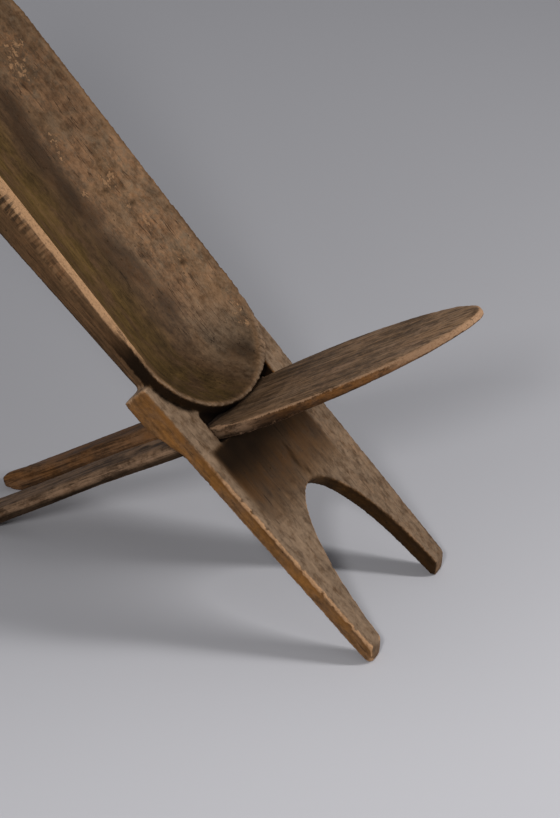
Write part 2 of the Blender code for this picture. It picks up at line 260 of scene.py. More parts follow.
# The same two tables for the seat plank
SEAT_FINISH_AND_PAINTED_LIGHT = {
    # The black layer on the seat is painted shade: in the corners (with dirt), on the underside, inside the
    # slot, and along the lower edges of the rim and the near bar
    "grime_and_shade": {"corner": 1.0, "under": 0.45, "low rim": 0.80, "in slot": 0.75, "bar foot": 0.85},
    "stain": {"rear leaf": 0.50, "far bar inside": 0.30, "stained rim": 1.0},
    "bare_and_highlight": {"rubbed edge": 1.0, "bare rim": 1.0, "worn bar": 1.0},
    "flake": {"bar tops": 0.18},
    "dust": {"leaf top": 0.7, "rear rim": 0.9, "near bar": 0.8},
    "ash": {"leaf top": 0.5},
    "rust": {"rusty rim": 0.8, "far bar": 0.45, "leaf top": 0.15},
    "olive": {"leaf top": 0.4},
    "warm": {"warm rim": 1.0, "far bar": 0.7},
    "sawn": {"grain": 1.0},
}
SEAT_SHADES = {
    "leaf top": 0.22, "dim leaf": -0.10, "tip": 0.09, "pale rear rim": 0.04, "near bar side": 0.10,
    "far bar inside": 0.06, "dark rim": -0.20,
}
MIDDLE_TONE = 0.5
HOLLOW_LEAST_TONE = 0.25
INSIDE_HOLLOW = 0.5

# Strengths inside the back plank's zones: the least and the most, or a share
# Strengths of the seat's painted shadow on the panel: from its far side to its near side, and by the worn
# pattern
UNDER_SEAT_FAR_TO_NEAR = (0.80, 1.0)
UNDER_SEAT_WEAR = (0.90, 0.98)
DARK_STAIN_SHARE = 1.5
DISHED_STAIN = (0.35, 0.70)
CHEEK_STAIN = 0.7
EDGE_RUB = 0.25
EDGE_RUB_NEAR = 0.30
EDGE_RUB_BELOW = 0.20
EDGE_RUB_HIGH_TO_LOW = (0.45, 1.0)
CREST_RUB = (0.15, 0.65)
CREST_RUB_FAR_TO_NEAR = (0.6, 1.0)
LIP_RUB_LOST = 0.65
LIP_RUB_WEAR = (1.0, 0.5)
BARE_RIM_WEAR = (0.78, 1.0)
CUT_WEAR = (0.25, 1.0)
FLAKE_ALL_OVER = 0.17
FLAKE_PATCHES = 0.25
DISHED_DUST_LOST = 0.85
ASHEN_WALL = 0.6
ASHEN_EDGE = 0.4
OUTER_RUST = 0.35
OUTER_RUST_HATCHED = 0.6
CHEEK_SAWN = (1.0, 0.35)
FAR_BOWL_LOST = 0.9

# Strengths inside the seat plank's zones: the least and the most, or a share
LOW_RIM_TIP_LOST = 0.75
RIM_STAIN_TO_TIP = (0.8, 0.3)
RIM_STAIN = 0.5
RIM_STAIN_MIDDLE = 0.5
RIM_STAIN_WEAR = 0.4
SEAT_EDGE_RUB = 0.20
LEAF_EDGE_RUB = (0.42, 0.70)
# Extra bare paint on the tip's upper edge: a painted highlight
TIP_EDGE_HIGHLIGHT = 0.20
RIM_BARE = 0.05
RIM_BARE_FRONT = 0.12
# Extra bare paint on the tip's rim: a painted highlight, over some wear
RIM_HIGHLIGHT_TIP = 0.70
BAR_WEAR = (0.25, 0.85)
SEAT_GRAIN = (0.60, 0.85)

# Marks on the back plank: place along and across it, length and width, all in metres
FLAKED_PATCHES = (
    (1.010, -0.097, 0.030, 0.016), (0.985, -0.084, 0.030, 0.014), (0.880, -0.060, 0.018, 0.010),
    (0.850, -0.055, 0.016, 0.008), (0.786, -0.047, 0.016, 0.008), (0.786, -0.092, 0.020, 0.012),
    (0.772, -0.083, 0.012, 0.009), (0.735, -0.088, 0.012, 0.006), (0.698, -0.095, 0.014, 0.009),
    (0.628, -0.100, 0.016, 0.009), (0.527, -0.120, 0.030, 0.008), (0.498, -0.108, 0.020, 0.006),
    (0.496, -0.011, 0.008, 0.006),
)
DARK_STAINS = (
    (0.950, -0.043, 0.030, 0.012), (0.906, -0.026, 0.026, 0.013), (0.875, -0.026, 0.022, 0.012),
    (0.841, -0.023, 0.024, 0.013), (0.802, -0.026, 0.024, 0.014), (0.758, -0.030, 0.024, 0.015),
    (0.704, -0.020, 0.026, 0.013), (0.672, -0.028, 0.022, 0.012), (0.644, -0.040, 0.020, 0.011),
    (0.596, -0.046, 0.022, 0.012), (0.470, -0.072, 0.018, 0.013),
)
ASHEN_PATCHES = (
    (0.970, -0.121, 0.035, 0.012), (0.920, -0.122, 0.030, 0.010), (0.801, -0.105, 0.016, 0.010),
    (0.730, -0.104, 0.018, 0.010), (0.574, -0.094, 0.030, 0.020),
)
DARK_SPOTS = (
    (0.765, -0.097, 0.009, 0.003), (0.735, -0.094, 0.004, 0.004), (0.773, -0.075, 0.004, 0.004),
    (0.622, -0.098, 0.005, 0.004), (0.278, -0.011, 0.008, 0.003), (0.325, -0.008, 0.020, 0.003),
    (0.302, -0.003, 0.018, 0.003),
)
# Painted shade in the hollow's low far corner, by the lip
DARK_CORNER = (0.470, -0.080, 0.050, 0.036)

# Colours of the wood, from its plain tone to bare edges and a painted highlight, dark stains, and a black for
# grime and painted shade
BACK_TONES = {
    "plain": (0.118, 0.064, 0.030), "dusty": (0.176, 0.116, 0.072), "warm": (0.195, 0.085, 0.022),
    "olive": (0.112, 0.065, 0.020), "ash": (0.130, 0.095, 0.062), "rust": (0.250, 0.120, 0.052),
    "flake": (0.310, 0.172, 0.084), "bare_and_highlight": (0.430, 0.245, 0.126), "outline": (0.026, 0.019, 0.012),
    "soaked": (0.40, 0.36, 0.31), "grime_and_shade": (0.008, 0.004, 0.0015),
}
SEAT_TONES = {
    "plain": (0.112, 0.061, 0.032), "dusty": (0.168, 0.105, 0.064), "warm": (0.165, 0.070, 0.021),
    "olive": (0.108, 0.066, 0.031), "ash": (0.138, 0.097, 0.065), "rust": (0.230, 0.112, 0.050),
    "flake": (0.290, 0.178, 0.118), "bare_and_highlight": (0.360, 0.214, 0.122), "outline": (0.026, 0.018, 0.012),
    "soaked": (0.40, 0.37, 0.34), "grime_and_shade": (0.008, 0.004, 0.0015),
}

# Width of the step in the wood's figure, narrow where the grain is strong
BACK_FIGURE_STEP = 0.27
SEAT_FIGURE_STEP = 0.12

# Patterns in the wood: metres along the grain and across it, place, detail, roughness and distortion
WOOD_PATTERNS = {
    "broad": (0.15, 0.045, 1.0, 4.0, 0.55, 0.0),
    "streak": (0.12, 0.0060, 3.0, 5.0, 0.62, 0.35),
    "fine": (0.030, 0.0013, 7.0, 3.0, 0.6, 0.0),
    "patch": (0.055, 0.032, 17.0, 4.0, 0.6, 0.3),
    "blotch": (0.020, 0.012, 13.0, 6.0, 0.68, 0.3),
    "crumb": (0.0095, 0.0070, 29.0, 4.0, 0.65, 0.4),
    "scale": (0.0085, 0.0060, 41.0, 4.0, 0.65, 0.4),
    "speck": (0.0042, 0.0024, 11.0, 3.0, 0.7, 0.0),
    "drift": (0.075, 0.034, 53.0, 4.0, 0.6, 0.4),
    "cuts": (0.0050, 0.040, 67.0, 2.0, 0.5, 0.4),
    "cracks": (0.30, 0.011, 23.0, 2.0, 0.5, 0.0),
}
PIT_CELLS = (0.012, 0.008, 5.0)

# Patterns added up, each by its share
SAWN_FIGURE = {"streak": 0.38, "broad": 0.20, "fine": 0.16, "blotch": 0.16, "speck": 0.10}
HEWN_FIGURE = {"streak": 0.10, "broad": 0.18, "fine": 0.08, "blotch": 0.34, "crumb": 0.18, "speck": 0.12}
SOAKING = {"blotch": 0.5, "crumb": 0.3, "speck": 0.2}
RUBBING = {"bare_and_highlight": 1.0, "blotch": 0.5, "crumb": 0.25}
GLOSS_LOSS = {"blotch": 0.5, "speck": 0.3, "grime_and_shade": 0.6}
RELIEF = {"streak": 0.6, "fine": 0.4, "blotch": 0.6, "crumb": 0.4, "speck": 0.5, "flake": 0.3, "marks": -0.8}

# Tones laid over the plain one in turn: painted layer, patterns with their shares, soft step and strength
TONE_LAYERS = {
    "dusty": ("dust", {"blotch": 1.0}, (0.25, 0.55, 0.0, 1.0)),
    "olive": ("olive", {"patch": 1.0}, (0.30, 0.58, 0.0, 1.0)),
    "warm": ("warm", {"patch": 1.0}, (0.66, 0.36, 0.0, 1.0)),
    "ash": ("ash", {"drift": 0.65, "crumb": 0.35}, (0.42, 0.60, 0.0, 0.65)),
    "rust": ("rust", {"patch": 0.5, "scale": 0.5}, (0.43, 0.62, 0.0, 0.70)),
}

# Soft steps of the wood's patterns, as from, to and the values there, and the shares of its marks
FIGURE_TONES = (0.46, 1.62)
PAINTED_TONE_SCALE = 2.0
FLAKE_STEP = (0.90, 0.97)
FLAKE_OUTLINE_STEP = (0.80, 0.90)
FLAKE_OUTLINE_SHARE = 0.40
FLAKE_SPECKS = (0.34, 0.62, 0.15, 0.80)
SOAK_STEP = (0.38, 0.58, 0.10, 0.95)
BARE_STEP = (0.72, 1.12)
BARE_SPECKS = (0.30, 0.56, 0.50, 0.95)
CUT_RIDGES = (0.50, 0.58, 0.0, 0.75)
CUT_GROOVES = (0.46, 0.40, 0.0, 0.60)
PATTERN_MIDDLE = 0.5
CRACK_LINE = (0.012, 0.0036)
CRACK_PATCHES = (0.48, 0.60)
PIT_STEP = (0.20, 0.09)
PIT_PATCHES = (0.53, 0.62)
MARK_SHARE = 0.6
ROUGHNESS_STEP = (0.25, 0.75, 0.50, 0.95)
BUMP_STRENGTH = 0.55
BUMP_DISTANCE = 0.0011
SPECULAR_LEVEL = 0.08

# Camera at the photograph's viewing angle, for an upright picture
CAMERA_AT = Vector((1.29315, -2.34, 1.8539))
CAMERA_TURN = math.radians(25.839)
CAMERA_DIP = math.radians(30.964)
CAMERA_LENS = 94.04
SENSOR = 36.0

# The floor: half its side, its squares, and its tones from the front to far behind, by distance in metres;
# the tones are a painted fall-off of light, darker beside the chair and lighter far behind, where they stand
# in for a lit backdrop
FLOOR_HALF = 12.0
FLOOR_SQUARES = 8
FLOOR_ROUGHNESS = 0.85
FLOOR_TONES = ((0.535, 0.530, 0.556), (0.428, 0.424, 0.446), (0.725, 0.719, 0.753))
FLOOR_STOPS = (0.0, 0.25, 1.0)
FLOOR_REACH = (-0.6, 3.0)

# Studio lights: bearing and height in degrees, distance, long and wide side in metres, and power in watts
LIGHTS = {
    "key": (21.0, 29.0, 2.6, 0.20, 1.7, 45.0),
    "fill": (-70.0, 36.0, 2.8, 0.35, 0.35, 33.0),
    "overhead": (0.0, 90.0, 2.2, 2.2, 2.2, 5.5),
}
LIGHTS_AIM = Vector((0.0, 0.0, 0.25))
SKY_COLOUR = (0.95, 0.96, 1.0, 1.0)
SKY_STRENGTH = 0.19


def smooth(low, high, value):
    """A soft step from 0 at low to 1 at high."""
    share = np.clip((value - low) / (high - low), 0.0, 1.0)
    return share * share * (3 - 2 * share)


def hump(centre, reach, value):
    """A soft bump of height 1 at the centre, gone at the reach."""
    return 1 - smooth(0.0, 1.0, np.abs(value - centre) / reach)


def graded(least, most, share):
    """A strength that goes from the least to the most as a mask goes from 0 to 1."""
    return least + (most - least) * share


class Skin:
    """A fine closed skin over one plank of the frame, shaped in the plank's own axes."""

    def __init__(self, name, node, fineness, start, turn):
        self.place = Matrix.LocRotScale(start, turn, None)
        bm = bmesh.new()
        bm.from_mesh(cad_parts[node].data)
        bmesh.ops.remove_doubles(bm, verts=bm.verts[:], dist=WELD)
        askew = SKIN_GRID_TURN.to_matrix().to_4x4()
        bmesh.ops.transform(bm, matrix=askew @ self.place.inverted(), verts=bm.verts[:])
        mesh = bpy.data.meshes.new(name)
        bm.to_mesh(mesh)
        bm.free()
        self.piece = bpy.data.objects.new(name, mesh)
        bpy.context.scene.collection.objects.link(self.piece)
        skin = self.piece.modifiers.new("skin", "REMESH")
        skin.mode = "VOXEL"
        skin.voxel_size = fineness
        worn = self.piece.modifiers.new("worn", "SMOOTH")
        worn.factor = SKIN_SOFTENING
        worn.iterations = SKIN_ROUNDS
        graph = bpy.context.evaluated_depsgraph_get()
        finished = bpy.data.meshes.new_from_object(self.piece.evaluated_get(graph))
        finished.transform(askew.inverted())
        self.piece.modifiers.clear()
        self.piece.data = finished
        finished.name = name
        pairs = np.empty(len(finished.edges) * 2, np.int32)
        finished.edges.foreach_get("vertices", pairs)
        self.ends = pairs.reshape(-1, 2).T
        self.degree = np.bincount(pairs, minlength=len(finished.vertices)).astype(float)
        self.read()

    def read(self):
        mesh = self.piece.data
        flat = np.empty(len(mesh.vertices) * 3, np.float32)
        mesh.vertices.foreach_get("co", flat)
        self.local = flat.reshape(-1, 3).astype(float)
        mesh.vertex_normals.foreach_get("vector", flat)
        self.normal = flat.reshape(-1, 3).astype(float)

    def shift(self, move):
        """Moves the skin's points and reads the new surface."""
        self.piece.data.vertices.foreach_set("co", (self.local + move).astype(np.float32).ravel())
        self.piece.data.update()
        self.read()

    def raise_by(self, height):
        self.shift(self.normal * height[:, None])

    def averaged(self, values, rounds):
        """Values spread to their neighbours, round after round."""
        near, far = self.ends
        held = values.reshape(len(values), -1).copy()
        for _ in range(rounds):
            for column in held.T:
                total = np.bincount(near, column[far], len(column))
                total += np.bincount(far, column[near], len(column))
                column[:] = total / self.degree
        return held.reshape(values.shape)

    def bulge(self, rounds):
        """How far each point stands out of its surroundings: above 0 on edges, below in corners."""
        return np.einsum("ij,ij->i", self.local - self.averaged(self.local, rounds), self.normal)

    def edges(self):
        return smooth(*EDGE_BULGE, self.bulge(EDGE_ROUNDS))

    def corners(self):
        return smooth(*CORNER_BULGE, self.bulge(CORNER_ROUNDS))

    def soften(self, share, rounds):
        """Rounds the skin off, by a share of 0 to 1 at each point."""
        self.shift((self.averaged(self.local, rounds) - self.local) * share[:, None])

    def mottle(self, along, across, seed):
        """Smooth noise about 0, with a pattern size in metres along and across the plank."""
        points = self.local / np.array((along, across, across)) + seed
        return np.array([noise.noise(point) for point in points])

    def scallops(self, along, across, seed):
        """Shallow bowls side by side, as an adze leaves them: 0 in a bowl, up to 1 on its rim."""
        points = self.local / np.array((along, across, across)) + seed
        return np.array([min(noise.voronoi(point)[0][0], 1.0) for point in points]) ** 2

    def dabs(self, *marks):
        """Soft oval patches, each with its place along and across, its length and its width."""
        along, across, _ = self.local.T
        total = np.zeros(len(along))
        for at, aside, length, width in marks:
            total += np.exp(-((along - at) / length) ** 2 - ((across - aside) / width) ** 2)
        return np.minimum(total, 1.0)

    def paint(self, name, values):
        layer = self.piece.data.attributes.new(name, "FLOAT", "POINT")
        layer.data.foreach_set("value", np.clip(values, 0.0, 1.0).astype(np.float32))

    def paint_finish(self, finish, zones):
        """Paints each layer of a finish, by the strongest of its zones at every point."""
        for layer, shares in finish.items():
            self.paint(layer, np.maximum.reduce([share * zones[zone] for zone, share in shares.items()]))

    def finish(self):
        """Puts the skin in its place in the frame, with worn ends stopping at the floor."""
        mesh = self.piece.data
        mesh.transform(self.place)
        points = np.empty(3 * len(mesh.vertices), np.float32)
        mesh.vertices.foreach_get("co", points)
        height = points[2::3]
        points[2::3] = np.where(height < 0, UNDER_FLOOR * height, height)
        mesh.vertices.foreach_set("co", points)
        mesh.update()
        return self.piece


class Wood:
    """Wires one plank's wood out of shader nodes, in the plank's own axes."""

    def __init__(self, name, start, turn):
        self.material = bpy.data.materials.new(name)
        self.material.use_nodes = True
        self.tree = self.material.node_tree
        self.tree.nodes.clear()
        place = self.node("ShaderNodeTexCoord")
        mapping = self.node(
            "ShaderNodeMapping", {"Vector": place.outputs["Object"], "Location": start, "Rotation": turn},
            vector_type="TEXTURE")
        self.plank = mapping.outputs["Vector"]

    def node(self, kind, inputs=None, **settings):
        made = self.tree.nodes.new(kind)
        for key, value in settings.items():
            setattr(made, key, value)
        for slot, value in (inputs or {}).items():
            if isinstance(value, bpy.types.NodeSocket):
                self.tree.links.new(value, made.inputs[slot])
            else:
                made.inputs[slot].default_value = value
        return made

    def stretched(self, along, across, shift):
        """The plank's axes in pattern lengths: so many metres along the grain and across it."""
        made = self.node(
            "ShaderNodeVectorMath", {0: self.plank, 1: (1 / along, 1 / across, 1 / across), 2: (shift,) * 3},
            operation="MULTIPLY_ADD")
        return made.outputs["Vector"]

    def noise(self, along, across, shift, detail, roughness, distortion):
        made = self.node("ShaderNodeTexNoise", {
            "Vector": self.stretched(along, across, shift), "Scale": 1.0, "Detail": detail,
            "Roughness": roughness, "Distortion": distortion})
        return made.outputs["Fac"]

    def cells(self, along, across, shift):
        made = self.node(
            "ShaderNodeTexVoronoi", {"Vector": self.stretched(along, across, shift), "Scale": 1.0})
        return made.outputs["Distance"]

    def maths(self, operation, a, b):
        return self.node("ShaderNodeMath", {0: a, 1: b}, operation=operation).outputs["Value"]

    def blend(self, patterns, shares):
        """Patterns added up, each by its share."""
        total = None
        for name, share in shares.items():
            part = self.maths("MULTIPLY", patterns[name], share)
            total = part if total is None else self.maths("ADD", total, part)
        return total

    def step(self, value, low, high, bottom=0.0, top=1.0):
        """A soft step of a pattern, from bottom at low to top at high."""
        made = self.node(
            "ShaderNodeMapRange",
            {"Value": value, "From Min": low, "From Max": high, "To Min": bottom, "To Max": top},
            interpolation_type="SMOOTHSTEP")
        return made.outputs["Result"]

    def between(self, low, high, share):
        """A pattern that goes over from one to another, by a share of 0 to 1."""
        made = self.node("ShaderNodeMix", {0: share, 2: low, 3: high}, data_type="FLOAT")
        return made.outputs[0]

    def hairlines(self, pattern, edge, core):
        """Thin lines where a pattern crosses its middle level."""
        off_middle = self.maths("SUBTRACT", pattern, PATTERN_MIDDLE)
        return self.step(self.maths("ABSOLUTE", off_middle, 0.0), edge, core)

    def painted(self, name):
        return self.node("ShaderNodeAttribute", attribute_name=name).outputs["Fac"]

    def where_painted(self, name, pattern):
        """A pattern kept to one of the skin's painted layers."""
        return self.maths("MULTIPLY", self.painted(name), pattern)

    def over(self, below, above, share, mode="MIX"):
        """One colour laid over another, by a share of 0 to 1."""
        made = self.node("ShaderNodeMix", data_type="RGBA", blend_type=mode)
        for slot, value in ((0, share), (6, below), (7, above)):
            if isinstance(value, bpy.types.NodeSocket):
                self.tree.links.new(value, made.inputs[slot])
            else:
                made.inputs[slot].default_value = value if slot == 0 else (*value, 1.0)
        return made.outputs[2]


def grain_colour(wood, patterns, tones, figure_step):
    """The wood's own tones, laid over each other and streaked by its figure."""
    colour = tones["plain"]
    for tone, (layer, shares, step) in TONE_LAYERS.items():
        share = wood.where_painted(layer, wood.step(wood.blend(patterns, shares), *step))
        colour = wood.over(colour, tones[tone], share)
    figure = wood.between(
        wood.blend(patterns, HEWN_FIGURE), wood.blend(patterns, SAWN_FIGURE), wood.painted("sawn"))
    low, high = PATTERN_MIDDLE - figure_step / 2, PATTERN_MIDDLE + figure_step / 2
    colour = wood.over(colour, wood.step(figure, low, high, *FIGURE_TONES), 1.0, "MULTIPLY")
    shade = wood.maths("MULTIPLY", wood.painted("tone"), PAINTED_TONE_SCALE)
    return wood.over(colour, shade, 1.0, "MULTIPLY")


def worn_colour(wood, patterns, tones, colour):
    """Flakes with dark outlines, soaked stains, bare rubbed places, which also carry the seat tip's painted
    highlight, and cuts across the grain.

    The flakes join the patterns, because they stand up in the wood's relief.
    """
    lifted = wood.maths("ADD", wood.painted("flake"), patterns["crumb"])
    flake = wood.step(lifted, *FLAKE_STEP)
    outline = wood.maths("SUBTRACT", wood.step(lifted, *FLAKE_OUTLINE_STEP), flake)
    colour = wood.over(colour, tones["outline"], wood.maths("MULTIPLY", outline, FLAKE_OUTLINE_SHARE))
    flake = wood.maths("MULTIPLY", flake, wood.step(patterns["speck"], *FLAKE_SPECKS))
    patterns["flake"] = flake
    colour = wood.over(colour, tones["flake"], flake)

    soak = wood.where_painted("stain", wood.step(wood.blend(patterns, SOAKING), *SOAK_STEP))
    colour = wood.over(colour, tones["soaked"], soak, "MULTIPLY")

    patterns["bare_and_highlight"] = wood.painted("bare_and_highlight")
    rubbed = wood.step(wood.blend(patterns, RUBBING), *BARE_STEP)
    bare_and_highlight = wood.maths("MULTIPLY", rubbed, wood.step(patterns["speck"], *BARE_SPECKS))
    colour = wood.over(colour, tones["bare_and_highlight"], bare_and_highlight)

    ridges = wood.where_painted("cut", wood.step(patterns["cuts"], *CUT_RIDGES))
    colour = wood.over(colour, tones["flake"], ridges)
    grooves = wood.where_painted("cut", wood.step(patterns["cuts"], *CUT_GROOVES))
    return wood.over(colour, tones["outline"], grooves)


def grime_and_shade_colour(wood, patterns, tones, colour):
    """Cracks, pits, and black grime and painted shade over everything else.

    They join the patterns, because they sink in the wood's relief and dull its gloss.
    """
    cracks = wood.hairlines(patterns["cracks"], *CRACK_LINE)
    cracks = wood.maths("MULTIPLY", cracks, wood.step(patterns["patch"], *CRACK_PATCHES))
    pits = wood.step(wood.cells(*PIT_CELLS), *PIT_STEP)
    pits = wood.maths("MULTIPLY", pits, wood.step(patterns["blotch"], *PIT_PATCHES))
    patterns["marks"] = wood.maths("MAXIMUM", cracks, pits)
    colour = wood.over(colour, tones["grime_and_shade"], wood.maths("MULTIPLY", patterns["marks"], MARK_SHARE))
    patterns["grime_and_shade"] = wood.painted("grime_and_shade")
    return wood.over(colour, tones["grime_and_shade"], patterns["grime_and_shade"])


def old_wood(name, start, turn, tones, figure_step):
    """Dark hewn hardwood: streaky grain, dusty and rubbed places, bare edges with a painted highlight at the
    seat's tip, stains, cracks, and black grime and painted shade.
    """
    wood = Wood(name, start, turn)
    patterns = {pattern: wood.noise(*settings) for pattern, settings in WOOD_PATTERNS.items()}
    colour = grain_colour(wood, patterns, tones, figure_step)
    colour = worn_colour(wood, patterns, tones, colour)
    colour = grime_and_shade_colour(wood, patterns, tones, colour)
    bump = wood.node("ShaderNodeBump", {
        "Height": wood.blend(patterns, RELIEF), "Strength": BUMP_STRENGTH, "Distance": BUMP_DISTANCE})
    shader = wood.node("ShaderNodeBsdfPrincipled", {
        "Base Color": colour, "Roughness": wood.step(wood.blend(patterns, GLOSS_LOSS), *ROUGHNESS_STEP),
        "Normal": bump.outputs["Normal"], "Specular IOR Level": SPECULAR_LEVEL})
    output = wood.node("ShaderNodeOutputMaterial", {"Surface": shader.outputs["BSDF"]})
    output.is_active_output = True
    return wood.material


def on_back(zone, value):
    return smooth(*BACK_BOUNDS[zone], value)


def on_seat(zone, value):
    return smooth(*SEAT_BOUNDS[zone], value)


def gutter_spread(along, across):
    """0 on the hollow's deepest line and 1 on the rim's inner edge, round the lip as well."""
    aside = np.abs(across) / (GUTTER_HALF - RIM_LAND)
    below = np.clip((LIP_AT + LIP_RUN - along) / (LIP_RUN - RIM_LAND), 0.0, None)
    return np.hypot(aside, below)


def near_rim_height(along):
    return RIM_HEIGHT_LOW + RIM_RISE * (along - RIM_LOW_AT)


def nick_edges(skin, depth, seed):
    """Knocks small nicks out of the edges, and rubs the edges down a little between them."""
    edge = smooth(*SHARP_BULGE, skin.bulge(SHARP_ROUNDS))
    nicks = smooth(*NICKED, skin.mottle(*NICKS, seed))
    rubbed = smooth(*RUBBED, skin.mottle(*RUBS, seed + RUB_SEED_STEP))
    skin.raise_by(-edge * depth * (nicks + NICK_RUB * rubbed))


def close_slot(skin):
    """Slopes the slot's lower wall with the tail and draws its ends in, so that no light comes through."""
    along, across, out = skin.local.T
    ahead, aside, _ = skin.normal.T
    width = np.abs(across)
    walls = on_back("slot walls", width) * on_back("slot walls from", along) * on_back("slot walls to", along)
    walls = walls * on_back("slot walls deep", out) * on_back("slot walls shallow", out)
    lower = walls * on_back("slot wall faces", ahead) * on_back("slot lower wall", along)
    ends = walls * on_back("slot wall faces", -aside * np.sign(across))
    sill = SLOT_END_SILL * on_back("slot ends", width)
    rise = lower * (np.clip(SLOT_RISE * -out - SLOT_PLAY, 0.0, None) + sill)
    inward = -np.sign(across) * ends * SLOT_END_DRAW * on_back("slot drawn in", out)
    skin.shift(np.stack((rise, inward, np.zeros_like(rise)), axis=1))


def chamfer_near_rim(skin):
    """Cuts the near rim's outer edge off at a slant, wider towards the top."""
    along, across, out = skin.local.T
    size = RIM_CHAMFER * on_back("chamfer", along)
    beyond = (across - GUTTER_HALF + size) + (out - near_rim_height(along))
    cut = np.clip(beyond, 0.0, None) / 2 * (across > CHAMFER_BEYOND) * (along > CHAMFER_FROM)
    skin.shift(np.stack((np.zeros_like(cut), -cut, -cut), axis=1))


def carve_back(skin):
    """Hand work on the back plank: slanted rim, full far corner of the lip, adze marks and nicks."""
    chamfer_near_rim(skin)
    skin.shift(np.outer(skin.dabs(LIP_CORNER), LIP_CORNER_MOVE))
    close_slot(skin)
    along, across, _ = skin.local.T
    shoulder = hump(*SHOULDER_CORNER, along) * on_back("shoulder ends", np.abs(across))
    share, rounds = FOOT_ROUNDING
    skin.soften(share * np.maximum(on_back("foot", along), shoulder), rounds)
    along, across, _ = skin.local.T
    facing = skin.normal[:, 2]
    in_hollow = on_back("carved hollow", gutter_spread(along, across))
    in_hollow = in_hollow * on_back("carved hollow faces", facing)
    flat = on_back("faces out or in", np.abs(facing)) * smooth(*FLAT_BULGE, skin.bulge(FLAT_ROUNDS))
    hewn = np.maximum(flat * on_back("adze", np.abs(across)), in_hollow)
    adze = graded(BACK_ADZE_DEPTH, HOLLOW_ADZE_DEPTH, in_hollow) * hewn
    skin.raise_by(adze * (skin.scallops(*BACK_ADZE) - ADZE_LEVEL) + BACK_WAVE * skin.mottle(*BACK_WAVES))
    nick_edges(skin, BACK_NICK, BACK_NICK_SEED)


def back_forms(skin):
    """Masks of the back plank's own forms, from 0 to 1 at each point of its skin."""
    along, across, out = skin.local.T
    ahead, aside, facing = skin.normal.T
    width = np.abs(across)
    spread = gutter_spread(along, across)
    hollow = on_back("hollow", spread) * on_back("hollow faces", facing)
    below_shoulder = on_back("below shoulder", along)
    panel = on_back("faces out", facing) * on_back("past hollow", spread) * on_back("panel", along)
    dished = panel * on_back("dished far", across) * on_back("dished near", across)
    dished = dished * on_back("dished from", along) * on_back("dished to", along)
    cheek = on_back("faces aside", np.abs(aside)) * (1 - hollow)
    # The lip's end wall, under its overhang: painted shade and grime, laid on in black
    end_wall = on_back("end wall from", spread) * on_back("end wall to", spread) * on_back("end wall", along)
    end_wall = end_wall * on_back("end wall faces", facing) * (out > END_WALL_FOOT)
    # Inside the slot: painted shade, laid on in black
    slot = on_back("slot", width) * on_back("slot from", along) * on_back("slot to", along)
    slot = slot * on_back("slot inside", out) * on_back("slot faces", facing)
    # Under the arch and on the legs' inner sides: painted shade, laid on in black
    arch = on_back("faces down", -ahead) * on_back("below crown", along) * (width < ARCH_HALF)
    arch_sides = cheek * on_back("arch sides", along) * (aside * across < 0)
    lip = on_back("lip from", spread) * on_back("lip to", spread) * on_back("lip", along)
    return {
        "hollow": hollow, "below shoulder": below_shoulder, "panel": panel, "dished": dished, "cheek": cheek,
        "side face": cheek * below_shoulder,
        "outer side": cheek * (1 - below_shoulder) * (aside * across > 0),
        # The shoulder's upward face: dusty, and painted light in the tone
        "shoulder": on_back("faces up", ahead) * hump(*SHOULDER_HUMP, along),
        "far half": on_back("far half", across), "near half": on_back("near half", across),
        "crest": on_back("crest", spread) * on_back("crest faces", facing) * (out > RIM_OVER_PANEL),
        "lip": lip, "end wall": end_wall, "inside slot": slot, "arch": np.maximum(arch, arch_sides),
        # Corners: painted shade with dirt, laid on in black; the faces turned back are darkened
        "behind": on_back("faces back", facing), "edge": skin.edges(), "corner": skin.corners(),
    }


